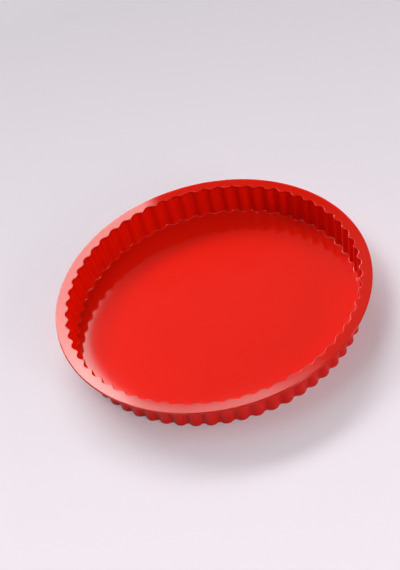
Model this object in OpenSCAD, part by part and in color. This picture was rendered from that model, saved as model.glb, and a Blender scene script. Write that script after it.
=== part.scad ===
// Round fluted tart mould, moulded in one piece from silicone rubber.
// The base rests on z = 0 and the axis of the mould is the Z axis.

/* [Rim] */
// Diameter over the flat rim
rim_d = 280; // [220:5:320]
// Width of the rim outside the flutes, at its narrowest
rim_w = 8.8; // [6:0.2:14]
// Thickness of the rim
rim_t = 2; // [1.4:0.1:3]
// Rounding along the outer edge of the rim
rim_edge_r = 0.8; // [0.2:0.1:0.9]

/* [Body] */
// Height from the base to the top of the rim
height = 30; // [20:1:45]
// Thickness of the fluted wall
wall_t = 1.5; // [1:0.1:2.4]
// Thickness of the floor
floor_t = 1.6; // [1:0.1:3]
// Lean of the wall away from upright, in degrees
draft = 6; // [2:0.5:12]
// Bevel along the foot of the wall, inside the cavity
foot_bevel = 1.2; // [0.4:0.1:2]

/* [Flutes] */
// Width of one flute and one ridge together, at the rim
flute_pitch = 13.6; // [12:0.1:16]
// Depth of a flute, from the crest of a ridge to its bottom
flute_depth = 2.8; // [1.5:0.1:3.4]
// Nose radius of the ridge between two flutes, inside the cavity
ridge_r = 4.2; // [3.6:0.1:5]

/* [Hidden] */

// How far a cut runs past the face that it opens
overcut = 2;
// The same for the bevel at the foot, short because the flutes get narrower with it
bevel_overcut = 0.5;
// How much a flute is wider than one that would only touch its ridges, so that
// the two cross at a slight crease along the line where they meet
crossing = 0.06;

// Seen from above at the rim, a flute is an arc centred on flute_pos, and a
// ridge is an arc centred on ridge_pos, half a step further round
flute_tip = rim_d / 2 - rim_w;
flutes = round(2 * PI * (flute_tip - flute_depth / 2) / flute_pitch);
step = 360 / flutes;
ridge_pos = flute_tip - flute_depth + ridge_r;
touching_r = (pow(flute_tip, 2) + pow(ridge_pos, 2) - pow(ridge_r, 2)
              - 2 * flute_tip * ridge_pos * cos(step / 2))
             / (2 * (flute_tip + ridge_r - ridge_pos * cos(step / 2)));
flute_r = touching_r + crossing;
flute_pos = flute_tip - flute_r;
// Direction, away from straight out, in which a flute meets a ridge
meeting = atan2(ridge_pos * sin(step / 2), ridge_pos * cos(step / 2) - flute_pos);
// Radius of the circle on which they meet
meeting_r = flute_pos + flute_r * cos(meeting);

// The wall leans towards one point on the axis, and everything in it shrinks
// by this share at height z
function share(z) = 1 - (height - z) * tan(draft) / flute_tip;

// Side of one flute or ridge as a leaning cone, grown outwards by "grow" at its
// low end and by "flare" more at its high end
module leaning_cone(pos, r, grow, flare, low, high) {
    lean = atan(pos * tan(draft) / flute_tip);
    translate([pos * share(low), 0, low]) rotate([0, lean, 0])
        cylinder(r1 = r * share(low) + grow, r2 = r * share(high) + grow + flare,
                 h = (high - low) / cos(lean), $fn = 64);
}

// Body with the fluted sides of the cavity from "low" to "high", grown as the cones are
module fluted_body(grow, flare, low, high) {
    core_grow = grow * cos(meeting) / cos(draft);
    difference() {
        union() {
            translate([0, 0, low])
                cylinder(r1 = meeting_r * share(low) + core_grow,
                         r2 = meeting_r * share(high) + core_grow + flare * cos(meeting),
                         h = high - low, $fn = 360);
            for (i = [0 : flutes - 1])
                rotate([0, 0, i * step])
                    leaning_cone(flute_pos, flute_r, grow, flare, low, high);
        }
        for (i = [0 : flutes - 1])
            rotate([0, 0, (i + 0.5) * step])
                leaning_cone(ridge_pos, ridge_r, -grow, -flare, low, high);
    }
}

// Block of a fluted body between two flat faces
module fluted_block(grow, bottom, top) {
    intersection() {
        translate([0, 0, bottom]) cylinder(d = rim_d, h = top - bottom);
        fluted_body(grow, 0, bottom - overcut, top + overcut);
    }
}

// What the bevel leaves standing along the foot of the wall
module foot() {
    low = floor_t - bevel_overcut;
    high = floor_t + foot_bevel + bevel_overcut;
    difference() {
        translate([0, 0, low + bevel_overcut / 2]) cylinder(d = rim_d, h = high - low - bevel_overcut);
        fluted_body(-foot_bevel - bevel_overcut, high - low, low, high);
    }
}

// The flat rim as a disc with a rounded edge, before the cavity opens it
module rim_disc() {
    inner = rim_d / 2 - rim_edge_r;
    translate([0, 0, height - rim_t]) rotate_extrude($fn = 360) union() {
        square([inner, rim_t]);
        translate([0, rim_edge_r]) square([rim_d / 2, rim_t - 2 * rim_edge_r]);
        for (z = [rim_edge_r, rim_t - rim_edge_r])
            translate([inner, z]) circle(r = rim_edge_r, $fn = 32);
    }
}

module mould() {
    color([0.85, 0.12, 0.08]) difference() {
        union() {
            rim_disc();
            fluted_block(wall_t, 0, height - rim_t / 2);
        }
        difference() {
            fluted_block(0, floor_t, height + overcut);
            foot();
        }
    }
}

mould();
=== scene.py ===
"""Looks of a round fluted tart mould in red silicone rubber. Units are metres."""

import math

import bpy
from mathutils import Matrix, Vector


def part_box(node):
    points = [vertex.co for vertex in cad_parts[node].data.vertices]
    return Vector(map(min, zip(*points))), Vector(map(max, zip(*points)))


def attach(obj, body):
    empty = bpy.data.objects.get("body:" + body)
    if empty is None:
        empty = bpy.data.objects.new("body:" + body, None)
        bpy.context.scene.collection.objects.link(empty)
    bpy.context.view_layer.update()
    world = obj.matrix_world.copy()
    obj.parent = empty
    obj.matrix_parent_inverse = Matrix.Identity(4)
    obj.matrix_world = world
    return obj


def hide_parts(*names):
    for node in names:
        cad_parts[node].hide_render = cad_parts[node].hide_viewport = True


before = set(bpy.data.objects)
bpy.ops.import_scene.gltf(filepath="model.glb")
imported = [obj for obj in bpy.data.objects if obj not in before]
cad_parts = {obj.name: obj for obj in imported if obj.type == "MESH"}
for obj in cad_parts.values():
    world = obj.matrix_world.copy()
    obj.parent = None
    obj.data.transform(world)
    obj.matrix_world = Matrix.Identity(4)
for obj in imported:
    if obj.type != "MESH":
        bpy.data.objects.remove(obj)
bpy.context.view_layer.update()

# Sizes of the mould, from its box and its driving dimensions
MM = 0.001
BOX_LOW, BOX_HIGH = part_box("mould")
RIM_RADIUS = (BOX_HIGH[0] - BOX_LOW[0]) / 2
HEIGHT = BOX_HIGH[2]
RIM_WIDTH = 8.8 * MM
RIM_THICKNESS = 2.0 * MM
RIM_EDGE_RADIUS = 0.8 * MM
WALL_THICKNESS = 1.5 * MM
FLOOR_THICKNESS = 1.6 * MM
DRAFT = math.radians(6)
FLUTE_PITCH = 13.6 * MM
FLUTE_DEPTH = 2.8 * MM
RIDGE_RADIUS = 4.2 * MM

# Radii that blend one face into the next
FOOT_RADIUS = 1.0 * MM
LIP_RADIUS = 0.5 * MM
COLLAR_RADIUS = 0.8 * MM
BASE_RADIUS = 1.5 * MM

# Fineness of the mesh
SEGMENTS_PER_FLUTE = 16
ARC_STEPS = 5
FLOOR_RINGS = 9
RIM_RINGS = 4
WALL_RINGS = 5
MERGE_DISTANCE = 0.001 * MM

# Length of the narrow strip that runs straight on from each end of a small arc
END_STRIP = 0.15 * MM

# Skin of the rubber: its grain, the patches in its tint, and its roughness, which
# goes with the patches on the walls and is one value on the polished rest
GRAIN_SIZE = 0.5 * MM
GRAIN_HEIGHT = 0.0006 * MM
PATCH_SIZE = 35 * MM
GLOSSIEST_WALL = 0.13
DULLEST_WALL = 0.16
POLISHED = 0.04
RUBBER_IOR = 1.45

# Colours of the rubber; the darker rim red is painted shade, with how far below the top it begins and is
# full
DEEP_RED = (0.77, 0.006, 0.0003, 1)
BRIGHT_RED = (0.81, 0.0075, 0.0005, 1)
RIM_PAINTED_SHADE_RED = (0.63, 0.006, 0.0003, 1)
RIM_PAINTED_SHADE_BEGINS = 3 * MM
RIM_PAINTED_SHADE_FULL = 1 * MM

# Camera, placed from the photograph. Lens and sensor are in millimetres, and
# the sensor covers the long side of the picture
CAMERA_PLACE = Vector((0.0253, -0.9975, 1.0113))
CAMERA_AIM = Vector((-0.0093, 0.0077, 0.030))
CAMERA_ROLL = math.radians(-15.81)
CAMERA_LENS = 101.75
CAMERA_SENSOR = 36

# Colours of the light, and the step in degrees along a light that is part of a ring
WARM_WHITE = (1.0, 0.97, 0.93, 1)
CREAM = (1.0, 0.96, 0.85, 1)
BACKDROP_COLOUR = (0.76, 0.72, 0.77, 1)
ARC_LIGHT_STEP = 4


def flute_layout():
    """Centres, radii and meeting angle of the arcs that form one flute and its ridges."""
    tip = RIM_RADIUS - RIM_WIDTH
    flutes = round(2 * math.pi * (tip - FLUTE_DEPTH / 2) / FLUTE_PITCH)
    half_step = math.pi / flutes
    ridge_centre = tip - FLUTE_DEPTH + RIDGE_RADIUS
    along = ridge_centre * math.cos(half_step)
    flute_radius = (tip ** 2 + ridge_centre ** 2 - RIDGE_RADIUS ** 2 - 2 * tip * along) / (
        2 * (tip + RIDGE_RADIUS - along))
    flute_centre = tip - flute_radius
    meeting = math.atan2(ridge_centre * math.sin(half_step), along - flute_centre)
    return {
        "Flutes": flutes,
        "Flute Centre": flute_centre,
        "Flute Radius": flute_radius,
        "Ridge Centre": ridge_centre,
        "Ridge Radius": RIDGE_RADIUS,
        "Meeting Angle": meeting,
    }


def share(height):
    """How much of its size at the rim the fluted edge keeps at this height."""
    tip = RIM_RADIUS - RIM_WIDTH
    return 1 - (HEIGHT - height) * math.tan(DRAFT) / tip


def fluted(height, offset, shrink=1.0, polish=0.0):
    """A point of the section that follows the flutes, moved out by an offset."""
    return {"scale": share(height) * shrink, "offset": offset * shrink, "height": height,
            "roundness": 0.0, "radius": 0.0, "polish": polish}


def arc_places(middle, radius, start, end):
    """Distance out and height of the points on a small arc, and of one straight on from each end."""
    turn = math.copysign(1, end - start)
    places = []
    for step in range(ARC_STEPS + 1):
        angle = start + (end - start) * step / ARC_STEPS
        out, up = math.cos(angle), math.sin(angle)
        place = (middle[0] + radius * out, middle[1] + radius * up)
        if step == 0:
            places.append((place[0] + turn * END_STRIP * up, place[1] - turn * END_STRIP * out))
        places.append(place)
    places.append((place[0] - turn * END_STRIP * up, place[1] + turn * END_STRIP * out))
    return places


def fluted_arc(middle, radius, start, end):
    """Points of the section on a small arc that follows the flutes."""
    points = []
    for offset, height in arc_places(middle, radius, start, end):
        point = fluted(middle[1], offset, polish=1.0)
        point["height"] = height
        points.append(point)
    return points


def round_arc(middle, radius, start, end):
    """Points of the section on a small arc that runs round the circular rim."""
    return [{"scale": share(HEIGHT), "offset": 0.0, "height": height,
             "roundness": 1.0, "radius": out, "polish": 1.0}
            for out, height in arc_places(middle, radius, start, end)]


def flat_rings(height, offset, rings, outwards):
    """Points of the section on a flat face, between the axis and its fluted edge."""
    shares = [ring / rings for ring in range(rings)]
    if not outwards:
        shares.reverse()
    return [fluted(height, offset, part, polish=1.0) for part in shares]


def wall_rings(low, high, offset):
    """Points of the section up the straight part of the wall, without its ends."""
    return [fluted(low + (high - low) * ring / WALL_RINGS, offset) for ring in range(1, WALL_RINGS)]


def rim_rings(height, offset, circle):
    """Points of the section across a flat face of the rim, from its fluted to its round edge."""
    rings = []
    for ring in range(1, RIM_RINGS):
        point = fluted(height, offset, polish=1.0)
        point["roundness"] = ring / RIM_RINGS
        point["radius"] = circle
        rings.append(point)
    return rings


def section_points():
    """Section through the mould: up the inside, over the rim, and down the outside."""
    level = math.pi / 2
    slant = 1 / math.cos(DRAFT)
    underside = HEIGHT - RIM_THICKNESS
    circle = RIM_RADIUS - RIM_EDGE_RADIUS

    foot = fluted_arc((-FOOT_RADIUS * slant, FLOOR_THICKNESS + FOOT_RADIUS), FOOT_RADIUS, -level, -DRAFT)
    lip = fluted_arc((LIP_RADIUS * slant, HEIGHT - LIP_RADIUS), LIP_RADIUS, math.pi - DRAFT, level)
    upper_edge = round_arc((circle, HEIGHT - RIM_EDGE_RADIUS), RIM_EDGE_RADIUS, level, 0)
    lower_edge = round_arc((circle, underside + RIM_EDGE_RADIUS), RIM_EDGE_RADIUS, 0, -level)
    collar = fluted_arc((WALL_THICKNESS + COLLAR_RADIUS * slant, underside - COLLAR_RADIUS),
                        COLLAR_RADIUS, level, math.pi - DRAFT)
    base = fluted_arc((WALL_THICKNESS - BASE_RADIUS * slant, BASE_RADIUS), BASE_RADIUS, -DRAFT, -level)

    points = flat_rings(FLOOR_THICKNESS, foot[0]["offset"], FLOOR_RINGS, outwards=True)
    points += foot
    points += wall_rings(foot[-1]["height"], lip[0]["height"], 0)
    points += lip
    points += rim_rings(HEIGHT, lip[-1]["offset"], circle)
    points += upper_edge + lower_edge
    points += reversed(rim_rings(underside, collar[0]["offset"], circle))
    points += collar
    points += wall_rings(collar[-1]["height"], base[0]["height"], WALL_THICKNESS)
    points += base
    points += flat_rings(0, base[-1]["offset"], FLOOR_RINGS, outwards=False)
    return points


def section_mesh():
    """The section as a line of vertices that carry how they follow the flutes."""
    points = section_points()
    mesh = bpy.data.meshes.new("section")
    mesh.from_pydata([(0, 0, point["height"]) for point in points],
                     [(i, i + 1) for i in range(len(points) - 1)], [])
    for name in ("scale", "offset", "height", "roundness", "radius", "polish"):
        attribute = mesh.attributes.new(name, "FLOAT", "POINT")
        for place, point in zip(attribute.data, points):
            place.value = point[name]
    return mesh


class TreeBuilder:
    """Adds nodes to a tree and links them, so that a formula reads in one line."""

    def __init__(self, tree):
        self.tree = tree

    def add(self, kind, values=(), **settings):
        """A new node with these settings, and with values or links in its inputs."""
        node = self.tree.nodes.new(kind)
        for name, value in settings.items():
            setattr(node, name, value)
        for key, value in dict(values).items():
            self.feed(node.inputs[key], value)
        return node

    def feed(self, socket, value):
        """Link a socket to another one, or give it a plain value."""
        if isinstance(value, bpy.types.NodeSocket):
            self.tree.links.new(value, socket)
        else:
            socket.default_value = value

    def math(self, operation, *values):
        return self.add("ShaderNodeMath", enumerate(values), operation=operation).outputs[0]

    def vector(self, operation, *values):
        return self.add("ShaderNodeVectorMath", enumerate(values), operation=operation).outputs[0]

    def scaled(self, vector, factor):
        """A vector made longer or shorter."""
        node = self.add("ShaderNodeVectorMath", {0: vector, "Scale": factor}, operation="SCALE")
        return node.outputs[0]

    def combine(self, x, y, z):
        """A vector from three numbers."""
        return self.add("ShaderNodeCombineXYZ", {0: x, 1: y, 2: z}).outputs[0]

    def either(self, kind, condition, no, yes):
        """One of two values, as the condition says."""
        values = {0: condition, 1: no, 2: yes}
        return self.add("GeometryNodeSwitch", values, input_type=kind).outputs[0]

    def coordinate(self, kind, axis):
        """One axis of a texture coordinate."""
        place = self.add("ShaderNodeTexCoord").outputs[kind]
        return self.add("ShaderNodeSeparateXYZ", {0: place}).outputs[axis]

    def ramp(self, value, start, end, first, last, **settings):
        """From first to last as the value goes from start to end, and level beyond them."""
        values = {"Value": value, "From Min": start, "From Max": end, "To Min": first, "To Max": last}
        return self.add("ShaderNodeMapRange", values, **settings).outputs[0]

    def colours(self, factor, first, last):
        """A colour between the first and the last."""
        node = self.add("ShaderNodeMix", {"Factor": factor, 6: first, 7: last}, data_type="RGBA")
        return node.outputs[2]


def shell_tree():
    """Node tree that sweeps a section round the fluted edge of the mould."""
    tree = bpy.data.node_groups.new("Fluted Shell", "GeometryNodeTree")
    sockets = tree.interface
    sockets.new_socket("Geometry", in_out="OUTPUT", socket_type="NodeSocketGeometry")
    sockets.new_socket("Section", in_out="INPUT", socket_type="NodeSocketGeometry")
    for name in ("Flutes", "Segments per Flute"):
        sockets.new_socket(name, in_out="INPUT", socket_type="NodeSocketInt")
    for name in ("Flute Centre", "Flute Radius", "Ridge Centre", "Ridge Radius", "Meeting Angle"):
        sockets.new_socket(name, in_out="INPUT", socket_type="NodeSocketFloat")
    sockets.new_socket("Material", in_out="INPUT", socket_type="NodeSocketMaterial")

    b = TreeBuilder(tree)
    given = b.add("NodeGroupInput").outputs
    flutes, flute_radius, ridge_radius = given["Flutes"], given["Flute Radius"], given["Ridge Radius"]
    meeting = given["Meeting Angle"]

    # A flat grid with a row for each point of the section and a column for each step round
    rows = b.add("GeometryNodeAttributeDomainSize", {0: given["Section"]}).outputs["Point Count"]
    columns = b.math("MULTIPLY", flutes, given["Segments per Flute"])
    last_row = b.math("SUBTRACT", rows, 1)
    grid = b.add("GeometryNodeMeshGrid", {
        "Size X": last_row, "Size Y": columns,
        "Vertices X": rows, "Vertices Y": b.math("ADD", columns, 1)}).outputs["Mesh"]
    place = b.add("ShaderNodeSeparateXYZ", {0: b.add("GeometryNodeInputPosition").outputs[0]}).outputs
    row = b.math("ROUND", b.math("MULTIPLY_ADD", last_row, 0.5, place["X"]))
    column = b.math("ROUND", b.math("MULTIPLY_ADD", columns, 0.5, place["Y"]))

    def sampled(name):
        attribute = b.add("GeometryNodeInputNamedAttribute", {"Name": name}, data_type="FLOAT")
        sample = b.add("GeometryNodeSampleIndex", {
            "Geometry": given["Section"], "Value": attribute.outputs["Attribute"], "Index": row},
            data_type="FLOAT", domain="POINT")
        return sample.outputs["Value"]

    # Where this column lies between the middle of its flute and the crest of a ridge
    turns = b.math("DIVIDE", column, given["Segments per Flute"])
    flute = b.math("ROUND", turns)
    from_middle = b.math("SUBTRACT", turns, flute)
    side = b.math("SIGN", from_middle)
    half_step = b.math("DIVIDE", math.pi, flutes)
    flute_length = b.math("MULTIPLY", flute_radius, meeting)
    ridge_length = b.math("MULTIPLY", ridge_radius, b.math("SUBTRACT", meeting, half_step))
    half_length = b.math("ADD", flute_length, ridge_length)
    along = b.math("MULTIPLY", b.math("MULTIPLY", b.math("ABSOLUTE", from_middle), 2), half_length)

    # Direction out of the cavity, and the arc that the point lies on
    on_ridge = b.math("GREATER_THAN", along, flute_length)
    past = b.math("DIVIDE", b.math("SUBTRACT", along, flute_length), ridge_radius)
    angle = b.either("FLOAT", on_ridge, b.math("DIVIDE", along, flute_radius),
                     b.math("SUBTRACT", meeting, past))
    outward = b.combine(b.math("COSINE", angle), b.math("SINE", angle), 0.0)
    flute_middle = b.combine(given["Flute Centre"], 0.0, 0.0)
    ridge_middle = b.combine(b.math("MULTIPLY", given["Ridge Centre"], b.math("COSINE", half_step)),
                             b.math("MULTIPLY", given["Ridge Centre"], b.math("SINE", half_step)), 0.0)
    edge = b.vector("ADD", b.either("VECTOR", on_ridge, flute_middle, ridge_middle),
                    b.scaled(outward, b.either("FLOAT", on_ridge, flute_radius,
                                               b.math("MULTIPLY", ridge_radius, -1))))

    def turned(vector):
        mirrored = b.vector("MULTIPLY", vector, b.combine(1.0, side, 1.0))
        turn = b.math("MULTIPLY", b.math("MULTIPLY", flute, 2), half_step)
        node = b.add("ShaderNodeVectorRotate", {"Vector": mirrored, "Angle": turn},
                     rotation_type="Z_AXIS")
        return node.outputs[0]

    # The fluted place and the round place of each point, and how much of each it takes
    edge = turned(edge)
    offset = b.scaled(turned(outward), sampled("offset"))
    follow = b.vector("ADD", b.scaled(edge, sampled("scale")), offset)
    circle = b.scaled(b.vector("NORMALIZE", edge), sampled("radius"))
    mixed = b.add("ShaderNodeMix", {
        "Factor": sampled("roundness"), 4: follow, 5: circle}, data_type="VECTOR").outputs[1]
    lift = b.combine(0.0, 0.0, sampled("height"))
    moved = b.add("GeometryNodeSetPosition", {
        "Geometry": grid, "Position": b.vector("ADD", mixed, lift)}).outputs[0]

    # The mark of the polished parts, and one closed skin where the grid's ends meet
    marked = b.add("GeometryNodeStoreNamedAttribute", {
        "Geometry": moved, "Name": "polish", "Value": sampled("polish")},
        data_type="FLOAT", domain="POINT").outputs[0]
    closed = b.add("GeometryNodeMergeByDistance", {
        "Geometry": marked, "Distance": MERGE_DISTANCE}).outputs[0]
    smooth = b.add("GeometryNodeSetShadeSmooth", {"Geometry": closed}).outputs[0]
    real = b.add("GeometryNodeRealizeInstances", {"Geometry": smooth}).outputs[0]
    finished = b.add("GeometryNodeSetMaterial", {"Geometry": real, "Material": given["Material"]})
    b.add("NodeGroupOutput", {"Geometry": finished.outputs[0]})
    return tree


def built(name, mesh, tree, values):
    """A plain mesh object made by a node tree from a mesh and the values of its inputs."""
    source = bpy.data.objects.new(name + "_source", mesh)
    bpy.context.collection.objects.link(source)
    modifier = source.modifiers.new("shape", "NODES")
    modifier.node_group = tree
    for item in tree.interface.items_tree:
        if item.in_out == "INPUT" and item.name in values:
            modifier[item.identifier] = values[item.name]
    bpy.context.view_layer.update()
    graph = bpy.context.evaluated_depsgraph_get()
    result = bpy.data.meshes.new_from_object(source.evaluated_get(graph), depsgraph=graph)
    result.name = name
    bpy.data.objects.remove(source)
    piece = bpy.data.objects.new(name, result)
    bpy.context.collection.objects.link(piece)
    return piece


def moulded_skin_group():
    """Faint unevenness of a moulded rubber skin: its grain, its gloss and its tint."""
    group = bpy.data.node_groups.new("Moulded Skin", "ShaderNodeTree")
    sockets = group.interface
    for name in ("Grain Size", "Grain Height", "Patch Size", "Gloss Roughness", "Dull Roughness"):
        sockets.new_socket(name, in_out="INPUT", socket_type="NodeSocketFloat")
    for name in ("Roughness", "Patches"):
        sockets.new_socket(name, in_out="OUTPUT", socket_type="NodeSocketFloat")
    sockets.new_socket("Normal", in_out="OUTPUT", socket_type="NodeSocketVector")

    b = TreeBuilder(group)
    given = b.add("NodeGroupInput").outputs
    place = b.add("ShaderNodeTexCoord").outputs["Object"]
    patches = b.add("ShaderNodeTexNoise", {
        "Vector": place, "Scale": b.math("DIVIDE", 1.0, given["Patch Size"]), "Detail": 3.0}).outputs[0]
    grain = b.add("ShaderNodeTexNoise", {
        "Vector": place, "Scale": b.math("DIVIDE", 1.0, given["Grain Size"]), "Detail": 2.0}).outputs[0]
    # Nearly all of the noise lies between these two
    low, high = 0.3, 0.7
    roughness = b.ramp(patches, low, high, given["Gloss Roughness"], given["Dull Roughness"])
    height = b.math("MULTIPLY", grain, given["Grain Height"])
    bump = b.add("ShaderNodeBump", {"Strength": 1.0, "Distance": 1.0, "Height": height}).outputs[0]
    b.add("NodeGroupOutput", {"Roughness": roughness, "Patches": patches, "Normal": bump})
    return group


def silicone_material(skin):
    """Satin red silicone rubber."""
    material = bpy.data.materials.new("red_silicone")
    material.use_nodes = True
    b = TreeBuilder(material.node_tree)
    shader = material.node_tree.nodes["Principled BSDF"]
    effect = b.add("ShaderNodeGroup", {
        "Grain Size": GRAIN_SIZE, "Grain Height": GRAIN_HEIGHT, "Patch Size": PATCH_SIZE,
        "Gloss Roughness": GLOSSIEST_WALL, "Dull Roughness": DULLEST_WALL}, node_tree=skin).outputs
    red = b.colours(effect["Patches"], DEEP_RED, BRIGHT_RED)
    # Painted shade: the rim is a darker red than the floor and walls, fading in just below the top
    height = b.coordinate("Object", "Z")
    rim_painted_shade = b.ramp(height, HEIGHT - RIM_PAINTED_SHADE_BEGINS, HEIGHT - RIM_PAINTED_SHADE_FULL, 0.0, 1.0)
    polish = b.add("ShaderNodeAttribute", attribute_name="polish").outputs["Fac"]
    b.feed(shader.inputs["Base Color"], b.colours(rim_painted_shade, red, RIM_PAINTED_SHADE_RED))
    b.feed(shader.inputs["Roughness"], b.ramp(polish, 0.0, 1.0, effect["Roughness"], POLISHED))
    b.feed(shader.inputs["Normal"], effect["Normal"])
    shader.inputs["IOR"].default_value = RUBBER_IOR
    return material


def tart_mould():
    """The whole mould: floor, fluted wall and flat rim in one skin of rubber."""
    values = flute_layout()
    values["Segments per Flute"] = SEGMENTS_PER_FLUTE
    values["Material"] = silicone_material(moulded_skin_group())
    piece = built("mould_skin", section_mesh(), shell_tree(), values)
    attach(piece, "root")
    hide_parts("mould")


def plain_floor():
    """Pale table that the mould stands on, a little darker towards its far end as painted shade, and its
    shadow lifted by a painted glow.
    """
    half = 4.0
    drop = 0.1 * MM
    corners = [(-half, -half, -drop), (half, -half, -drop), (half, half, -drop), (-half, half, -drop)]
    mesh = bpy.data.meshes.new("studio_floor")
    mesh.from_pydata(corners, [], [(0, 1, 2, 3)])
    floor = bpy.data.objects.new("studio_floor", mesh)
    bpy.context.collection.objects.link(floor)

    material = bpy.data.materials.new("pale_floor")
    material.use_nodes = True
    nodes = material.node_tree.nodes
    b = TreeBuilder(material.node_tree)
    shader = nodes["Principled BSDF"]
    # Painted shade: the table's colour darkens from the near side towards its far end
    far = b.ramp(b.coordinate("Object", "Y"), -0.3, 0.5, 0.0, 1.0)
    b.feed(shader.inputs["Base Color"], b.colours(far, (0.92, 0.84, 0.93, 1), (0.48, 0.455, 0.50, 1)))
    shader.inputs["Roughness"].default_value = 0.8

    # Painted light: a share of glow, which only the camera sees, keeps the shadow pale; the glow too is
    # darker towards the far end
    painted_glow_share = 0.25
    painted_glow_colour = b.colours(far, (0.90, 0.83, 0.90, 1), (0.70, 0.66, 0.70, 1))
    plain = b.add("ShaderNodeEmission", {"Color": painted_glow_colour}).outputs[0]
    seen = b.add("ShaderNodeLightPath").outputs["Is Camera Ray"]
    mixed = b.add("ShaderNodeMixShader", {
        0: b.math("MULTIPLY", seen, painted_glow_share), 1: shader.outputs[0], 2: plain}).outputs[0]
    b.feed(nodes["Material Output"].inputs["Surface"], mixed)
    mesh.materials.append(material)


def softbox(name, angle, elevation, distance, size, radiance):
    """Rectangular soft light that faces the mould, from an angle about Z and an elevation in degrees.

    Its power goes with its area, so that its size leaves its brightness as it is.
    """
    light = bpy.data.lights.new(name, "AREA")
    light.shape = "RECTANGLE"
    light.size, light.size_y = size
    light.energy = radiance * math.pi * size[0] * size[1]
    box = bpy.data.objects.new(name, light)
    turn, rise = math.radians(angle), math.radians(elevation)
    towards = (math.cos(rise) * math.cos(turn), math.cos(rise) * math.sin(turn), math.sin(rise))
    box.location = distance * Vector(towards)
    box.rotation_euler = (-box.location).to_track_quat("-Z", "Y").to_euler()
    bpy.context.collection.objects.link(box)


def evenly(stops, step):
    """The stops of a piecewise linear curve, with more between them at about even steps."""
    dense = []
    for low, high in zip(stops, stops[1:]):
        parts = max(1, round((high[0] - low[0]) / step))
        for part in range(parts):
            past = part / parts
            dense.append(tuple(a + (b - a) * past for a, b in zip(low, high)))
    return dense + [stops[-1]]


def arc_softbox(name, hub, stops, rings):
    """Flat soft light that faces down, round part of a ring.

    Each stop is an angle with the radius of the inner edge and the radiance there.
    Each ring is a distance out from the inner edge with the share of that radiance.
    """
    vertices, glow, faces = [], [], []
    for angle, inner, radiance in evenly(stops, ARC_LIGHT_STEP):
        turn = math.radians(angle)
        for extra, part in rings:
            radius = inner + extra
            vertices.append((radius * math.cos(turn), radius * math.sin(turn), 0))
            glow.append(radiance * part)
    for i in range(len(vertices) // len(rings) - 1):
        for j in range(len(rings) - 1):
            corner = i * len(rings) + j
            faces.append((corner, corner + len(rings), corner + len(rings) + 1, corner + 1))
    mesh = bpy.data.meshes.new(name)
    mesh.from_pydata(vertices, [], faces)
    attribute = mesh.attributes.new("glow", "FLOAT", "POINT")
    attribute.data.foreach_set("value", glow)
    box = bpy.data.objects.new(name, mesh)
    box.location = hub
    bpy.context.collection.objects.link(box)

    material = bpy.data.materials.new(name)
    material.use_nodes = True
    nodes = material.node_tree.nodes
    nodes.remove(nodes["Principled BSDF"])
    b = TreeBuilder(material.node_tree)
    strength = b.add("ShaderNodeAttribute", attribute_name="glow").outputs["Fac"]
    light = b.add("ShaderNodeEmission", {"Color": WARM_WHITE, "Strength": strength}).outputs[0]
    b.feed(nodes["Material Output"].inputs["Surface"], light)
    mesh.materials.append(material)
    box.visible_camera = False


def surround():
    """Dim light from all round, with a brighter belt half way up, and a pale backdrop for the camera."""
    world = bpy.data.worlds.new("surround")
    world.use_nodes = True
    b = TreeBuilder(world.node_tree)
    background = world.node_tree.nodes["Background"]
    height = b.coordinate("Generated", "Z")

    def change(low, high, first, last):
        start, end = math.sin(math.radians(low)), math.sin(math.radians(high))
        return b.ramp(height, start, end, first, last, interpolation_type="SMOOTHSTEP")

    below, belt, overhead = 0.10, 0.38, 0.18
    glow = b.math("SUBTRACT", change(42.2, 44.8, below, belt), change(52, 62, 0.0, belt - overhead))
    seen = b.add("ShaderNodeLightPath").outputs["Is Camera Ray"]
    strength = b.add("ShaderNodeMix", {"Factor": seen, 2: glow, 3: 1.0}, data_type="FLOAT").outputs[0]
    b.feed(background.inputs["Strength"], strength)
    b.feed(background.inputs["Color"], b.colours(seen, CREAM, BACKDROP_COLOUR))
    bpy.context.scene.world = world


def lighting():
    """Two arcs that floor and rim mirror as a pink sheen, and four soft lights round the mould."""
    hub = (-0.156, 2.951, 3.0)
    soft_edge = [(0, 0), (0.02, 0.5), (0.06, 1)]
    arc_softbox("far_arc", hub, [
        (94, 0.46, 0.0), (99, 0.46, 6.0), (125, 0.42, 6.0), (139, 0.374, 6.2), (155, 0.368, 6.5),
        (180, 0.373, 8.2), (205, 0.376, 12.2), (225, 0.388, 12.0), (238, 0.415, 7.8)],
        soft_edge + [(0.25, 1), (0.4, 0.2), (1.6, 0.15)])
    arc_softbox("near_arc", hub, [
        (238, 0.415, 7.8), (255, 0.420, 4.8), (275, 0.420, 4.6), (290, 0.430, 4.6), (300, 0.480, 3.4),
        (318, 0.500, 0.0)],
        soft_edge + [(0.20, 1)])
    softbox("rear_softbox", angle=104, elevation=33.3, distance=4.0, size=(4.0, 0.82), radiance=15.8)
    softbox("front_softbox", angle=-51, elevation=18, distance=6.0, size=(1.12, 2.25), radiance=14.6)
    softbox("right_softbox", angle=-5, elevation=18, distance=6.0, size=(0.62, 2.25), radiance=9.0)
    softbox("top_softbox", angle=165, elevation=66, distance=3.0, size=(2.4, 1.0), radiance=2.7)


def camera():
    """Camera with the viewing angle and the framing of the photograph."""
    data = bpy.data.cameras.new("camera")
    data.lens = CAMERA_LENS
    data.sensor_width = CAMERA_SENSOR
    viewer = bpy.data.objects.new("camera", data)
    towards = (CAMERA_AIM - CAMERA_PLACE).to_track_quat("-Z", "Y").to_matrix()
    roll = Matrix.Rotation(CAMERA_ROLL, 3, "Z")
    viewer.matrix_world = Matrix.Translation(CAMERA_PLACE) @ (towards @ roll).to_4x4()
    bpy.context.collection.objects.link(viewer)
    bpy.context.scene.camera = viewer


bpy.context.scene.view_settings.view_transform = "Standard"
camera()
tart_mould()
plain_floor()
surround()
lighting()
